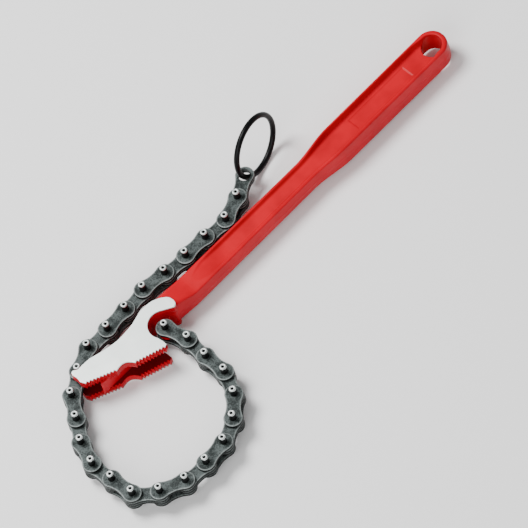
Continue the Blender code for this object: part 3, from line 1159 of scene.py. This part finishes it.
@dataclass
class ChainPlate:
    """One blanked chain plate between two pins."""

    pitch: float
    thickness: float = 2.0
    end_radius: float = 5.65
    waist_half: float = 4.2
    arc_steps: int = 22
    waist_steps: int = 9
    roll: Sequence[Point] = ((0.0, 0.45), (0.02, 0.3), (0.07, 0.17), (0.2, 0.08), (0.5, 0.025),
                             (1.0, 0.0))
    # Rim marks of the roll rings: -1 paints the side wall near-black as shade; values above 0 lighten the
    # rim, partly by wear and partly as painted highlight.
    roll_rims: Sequence[float] = (-1.0, -0.5, 0.7, 1.0, 0.5, 0.0)
    # Painted shade: plate undersides and the lower plates lie in shade, so their rims lighten at most this
    # much.
    shaded_rim_limit: float = 0.3
    hole_edge: float = 0.12
    hole_sides: int = 36
    crease_angle: float = 50.0

    def outline(self) -> list[tuple[Vector, Vector]]:
        """Points round the plate with their outward directions.

        Returns:
            Pairs of a place and a unit direction, counter-clockwise.
        """
        half = self.pitch / 2
        waist_radius = ((half ** 2 + self.waist_half ** 2 - self.end_radius ** 2)
                        / (2 * (self.end_radius - self.waist_half)))
        lift = waist_radius + self.waist_half
        turn = math.degrees(math.atan2(lift, half))
        points = []
        for centre_x, start, end, side in ((self.pitch, turn - 180, 180 - turn, 1),
                                           (0.0, turn, turn + 360 - 2 * turn, -1)):
            for outward in arc(Vector((0, 0)), 1.0, start, end, self.arc_steps):
                points.append((Vector((centre_x, 0)) + self.end_radius * outward, outward))
            for step in range(1, self.waist_steps):
                sweep = (180 - 2 * turn) * (step / self.waist_steps - 0.5)
                inward = direction(-90 * side - sweep, 0.0).to_2d()
                points.append((Vector((half, side * lift)) + waist_radius * inward, -inward))
        return points

    def build(self, name: str, holes: Sequence[float], upper_rim: float = 1.0) -> bpy.types.Mesh:
        """Make the plate with its lower face at height zero, first hole at the origin, next on +X.

        Args:
            name: the mesh's name.
            holes: radii of the two holes.
            upper_rim: how far the upper rim may lighten from wear and painted highlight; less on plates
                that lie in shade.

        Returns:
            The mesh in metres.
        """
        shape = bmesh.new()
        layer = shape.verts.layers.float.new("rim")
        profile = [(inset, drop, rim) for (inset, drop), rim in zip(self.roll, self.roll_rims)]
        rings = [self.ring(shape, layer, inset, drop, min(rim, self.shaded_rim_limit))
                 for inset, drop, rim in reversed(profile)]
        rings += [self.ring(shape, layer, inset, self.thickness - drop, min(rim, upper_rim))
                  for inset, drop, rim in profile]
        close_walls(shape, rings)
        lower, upper = [rings[0]], [rings[-1]]
        for centre_x, radius in zip((0.0, self.pitch), holes):
            walls = []
            for grow, height in ((self.hole_edge, 0.0), (0.0, self.hole_edge),
                                 (0.0, self.thickness - self.hole_edge), (self.hole_edge, self.thickness)):
                wall = circle(Vector((centre_x, 0)), radius + grow, self.hole_sides)
                walls.append(level_ring(shape, wall, height))
            close_walls(shape, walls)
            lower.append(walls[0])
            upper.append(walls[-1])
        fill_flat(shape, lower, -1)
        fill_flat(shape, upper, 1)
        return new_mesh(name, shape, angle=self.crease_angle)

    def ring(self, shape: bmesh.types.BMesh, layer: bmesh.types.BMLayerItem, inset: float,
             height: float, rim: float) -> Ring:
        """Ring of vertices round the plate.

        Args:
            shape: the plate's bmesh.
            layer: where the rim's mark is kept.
            inset: how far the ring is drawn in.
            height: its height.
            rim: its mark, 1 on a rim lightened by wear and painted highlight, -1 on a side wall painted
                near-black as shade.

        Returns:
            The vertices.
        """
        made = level_ring(shape, [point - inset * outward for point, outward in self.outline()], height)
        for vertex in made:
            vertex[layer] = rim
        return made


@dataclass
class ChainPin:
    """Long chain pin with bright domed ends, each with a drilled centre."""

    radius: float = 2.05
    length: float = 21.0
    sides: int = 40
    bright_depth: float = 0.9
    drilled_radius: float = 0.8
    crease_angle: float = 60.0
    end_profile: Sequence[Point] = ((0.0, -1.9), (0.72, -1.6), (0.78, -0.5), (0.9, -0.2), (1.12, -0.05),
                                    (1.42, 0.0), (1.72, -0.06), (1.93, -0.2), (2.03, -0.42), (2.05, -0.9))

    def build(self, name: str) -> bpy.types.Mesh:
        """Turn the pin about its own axis, with its middle at the origin.

        Args:
            name: the mesh's name.

        Returns:
            The mesh: slot 0 is the shaft and the drilled centres, whose near-black there is painted shade;
                slot 1 the bright ends.
        """
        half = self.length / 2
        upper = [(radius, half + z) for radius, z in self.end_profile]
        profile = upper + [(radius, -z) for radius, z in reversed(upper)]
        shape = bmesh.new()
        rings = [level_ring(shape, circle(Vector((0, 0)), radius, self.sides), z)
                 for radius, z in profile[1:-1]]
        close_walls(shape, rings)
        for z, loop in ((profile[0][1], rings[0]), (profile[-1][1], rings[-1])):
            tip = shape.verts.new(Vector((0, 0, z)))
            for index, vertex in enumerate(loop):
                shape.faces.new((vertex, loop[(index + 1) % len(loop)], tip))
        # Painted shade: the drilled centres take the near-black shaft finish; the ends outside them are
        # bright.
        for face in shape.faces:
            centre = face.calc_center_median()
            outside = centre.to_2d().length > self.drilled_radius
            face.material_index = 1 if outside and abs(centre.z) > half - self.bright_depth else 0
        return new_mesh(name, shape, angle=self.crease_angle)


@dataclass
class Chain:
    """Leaf chain: outer links with two plates and two long pins, inner links with two plates."""

    plate_gap: float = 0.35
    running_gap: float = 0.04
    eye_radius: float = 3.85
    slot: str = "chain_steel"

    def __post_init__(self) -> None:
        """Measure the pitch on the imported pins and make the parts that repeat."""
        self.plate = ChainPlate((PINS[1] - PINS[0]).length)
        pin = ChainPin()
        hole = pin.radius + self.running_gap
        self.plain_plate = self.plate.build("chain_plate", (hole, hole))
        # Painted shade: the lower plates lie under the others, so their upper rims keep the shaded limit.
        self.low_plate = self.plate.build("chain_low_plate", (hole, hole), self.plate.shaded_rim_limit)
        self.eye_plate = self.plate.build("chain_eye_plate", (hole, self.eye_radius))
        self.pin_mesh = pin.build("chain_pin")

    def set_part(self, name: str, mesh: bpy.types.Mesh, number: int, start: Vector, height: float,
                 node: str, finishes: Sequence[bpy.types.Material]) -> bpy.types.Object:
        """Copy a part to its place in a link.

        Args:
            name: the piece's name.
            mesh: the part, made at the origin.
            number: the link that it belongs to.
            start: the pin that it is made at.
            height: where the part's own zero goes, from the middle plane.
            node: how the name of the link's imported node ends.
            finishes: its materials, in slot order.

        Returns:
            The piece.
        """
        link = f"link_{number:02d}"
        first, second = PINS[number - 1], PINS[number]
        heading = math.atan2(second.y - first.y, second.x - first.x)
        where = Vector((start.x, start.y, MIDDLE + height)) * MM
        copy = mesh.copy()
        copy.name = name
        copy.transform(Matrix.Translation(where) @ Matrix.Rotation(heading, 4, "Z"))
        return place(name, copy, link, [f"{link}_{node}"], finishes)

    def build_plate(self, number: int, layer: Layer, steel: bpy.types.Material) -> None:
        """Make one plate of a link.

        Args:
            number: the link's number.
            layer: which plate.
            steel: its finish.
        """
        node, rank = layer.value
        height = self.plate_gap / 2 + rank * (self.plate.thickness + self.plate_gap)
        mesh = self.low_plate if rank < 0 else self.plain_plate
        if number == len(PINS) - 1:
            mesh = self.eye_plate
        name = f"link_{number:02d}_{layer.name.lower()}_plate_steel"
        weighted(self.set_part(name, mesh, number, PINS[number - 1], height, node, [steel]))

    def build(self, steel: bpy.types.Material, shaft: bpy.types.Material, end: bpy.types.Material) -> None:
        """Make every link of the chain.

        Args:
            steel: finish of the plates.
            shaft: finish of the pins.
            end: finish of the pins' ends.
        """
        for number in range(1, len(PINS)):
            if number % 2:
                self.build_plate(number, Layer.OUTER_LOW, steel)
                self.build_plate(number, Layer.OUTER_HIGH, steel)
                for at in (number, number + 1):
                    self.set_part(f"chain_pin_{at:02d}", self.pin_mesh, number, PINS[at - 1], 0.0,
                                  Layer.OUTER_LOW.value[0], (shaft, end))
            else:
                self.build_plate(number, Layer.INNER_LOW, steel)
                self.build_plate(number, Layer.INNER_HIGH, steel)


@dataclass
class EndRing:
    """Round wire ring through the last link's eye."""

    wire_radius: float = 1.73
    heading: float = 14.3
    lean: float = 6.5
    segments: int = 120
    sides: int = 20

    def build(self, wire: bpy.types.Material) -> None:
        """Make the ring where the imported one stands.

        Args:
            wire: its finish.
        """
        low, high = (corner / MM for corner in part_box("ring"))
        centre = (low + high) / 2
        lean, up = math.radians(self.lean), Vector((0, 0, 1))
        radius = (high.z - low.z) / 2 / math.cos(lean) - self.wire_radius
        along = direction(self.heading, 0.0)
        side_on = Vector((-along.y, along.x, 0))
        upward = math.sin(lean) * side_on + math.cos(lean) * up
        across = math.cos(lean) * side_on - math.sin(lean) * up
        shape = bmesh.new()
        rings = []
        for segment in range(self.segments):
            turn = 2 * math.pi * segment / self.segments
            outward = math.cos(turn) * along + math.sin(turn) * upward
            hub = centre + radius * outward
            rings.append(ring_verts(shape, [
                hub + self.wire_radius * (math.cos(2 * math.pi * side / self.sides) * outward
                                          + math.sin(2 * math.pi * side / self.sides) * across)
                for side in range(self.sides)]))
        close_walls(shape, [*rings, rings[0]])
        place("end_ring", new_mesh("end_ring", shape, Shade.SMOOTH), "ring", ["ring"], [wire])


@dataclass(frozen=True)
class SoftLight:
    """Square soft light, placed by its azimuth from +X and its height above the floor in degrees."""

    name: str
    size: float
    power_watts: float
    azimuth: float
    elevation: float
    distance: float = 1600.0

    def hang(self, aim: Vector) -> None:
        """Hang the light so that it faces the wrench.

        Args:
            aim: what it faces.
        """
        data = bpy.data.lights.new(self.name, "AREA")
        data.shape = "SQUARE"
        data.size = self.size * MM
        data.energy = self.power_watts
        light = bpy.data.objects.new(self.name, data)
        toward = direction(self.azimuth, self.elevation)
        light.location = (aim + toward * self.distance) * MM
        light.rotation_euler = toward.to_track_quat("Z", "Y").to_euler()
        bpy.context.scene.collection.objects.link(light)


@dataclass
class Studio:
    """White paper floor, soft lights and the camera at the photograph's angle."""

    elevation: float = 58.402
    azimuth: float = -119.650
    roll: float = -19.183
    distance: float = 6855.4
    focal_pixels: float = 12000.0
    image_pixels: float = 528.0
    sensor_width: float = 36.0
    clip_end_m: float = 100.0
    target_from_anchor: tuple[float, float, float] = (63.911, -19.592, 10.5)
    floor_half: float = 4000.0
    sky_strength: float = 0.35
    lights: Sequence[SoftLight] = (
        SoftLight("key", size=650.0, power_watts=38.0, azimuth=112.0, elevation=62.0),
        SoftLight("fill", size=1200.0, power_watts=18.0, azimuth=-150.0, elevation=35.0))

    def axes(self) -> tuple[Vector, Vector, Vector]:
        """Right, up and backward directions of the camera.

        Returns:
            Three unit vectors.
        """
        back = direction(self.azimuth, self.elevation)
        turn, tilt = math.radians(self.azimuth), math.radians(self.roll)
        right = Vector((-math.sin(turn), math.cos(turn), 0))
        up = back.cross(right)
        return (math.cos(tilt) * right + math.sin(tilt) * up,
                math.cos(tilt) * up - math.sin(tilt) * right, back)

    def build_camera(self, aim: Vector) -> None:
        """Place the camera that fits the photograph.

        Args:
            aim: the point at the middle of its view.
        """
        right, up, back = self.axes()
        data = bpy.data.cameras.new("camera")
        data.sensor_width = self.sensor_width
        data.lens = self.focal_pixels / self.image_pixels * self.sensor_width
        data.clip_end = self.clip_end_m
        camera = bpy.data.objects.new("camera", data)
        turned = Matrix((right, up, back)).transposed().to_4x4()
        camera.matrix_world = Matrix.Translation((aim + self.distance * back) * MM) @ turned
        bpy.context.scene.collection.objects.link(camera)
        bpy.context.scene.camera = camera

    def build_floor(self, paper: bpy.types.Material) -> None:
        """Lay the floor that the wrench lies on.

        Args:
            paper: its finish.
        """
        shape = bmesh.new()
        corners = [(-1, -1), (1, -1), (1, 1), (-1, 1)]
        shape.faces.new(ring_verts(shape, [Vector((x, y, 0)) * self.floor_half for x, y in corners]))
        floor = bpy.data.objects.new("floor", new_mesh("floor", shape))
        floor.data.materials.append(paper)
        bpy.context.scene.collection.objects.link(floor)

    def build_world(self) -> None:
        """Even white light from all round."""
        world = bpy.data.worlds.new("studio")
        world.use_nodes = True
        shine = world.node_tree.nodes["Background"]
        shine.inputs["Color"].default_value = (1.0, 1.0, 1.0, 1.0)
        shine.inputs["Strength"].default_value = self.sky_strength
        bpy.context.scene.world = world

    def build(self) -> None:
        """Set the whole studio up."""
        aim = ANCHOR + Vector(self.target_from_anchor)
        self.build_camera(aim)
        self.build_floor(PaperFloor().build())
        self.build_world()
        for light in self.lights:
            light.hang(aim)


def main() -> None:
    """Build the wrench's pieces in order and light them."""
    logging.basicConfig(level=logging.INFO, format="%(name)s %(message)s")
    forging = Forging()
    forging.build_forging(RedEnamel().build())
    ground = GroundSteel().build()
    for side in Side:
        forging.build_face(side, ground)
    Chain().build(ChainPlateSteel().build(), PinShaft().build(), PinEnd().build())
    EndRing().build(BlackWire().build())
    Studio().build()


if __name__ == "__main__":
    main()
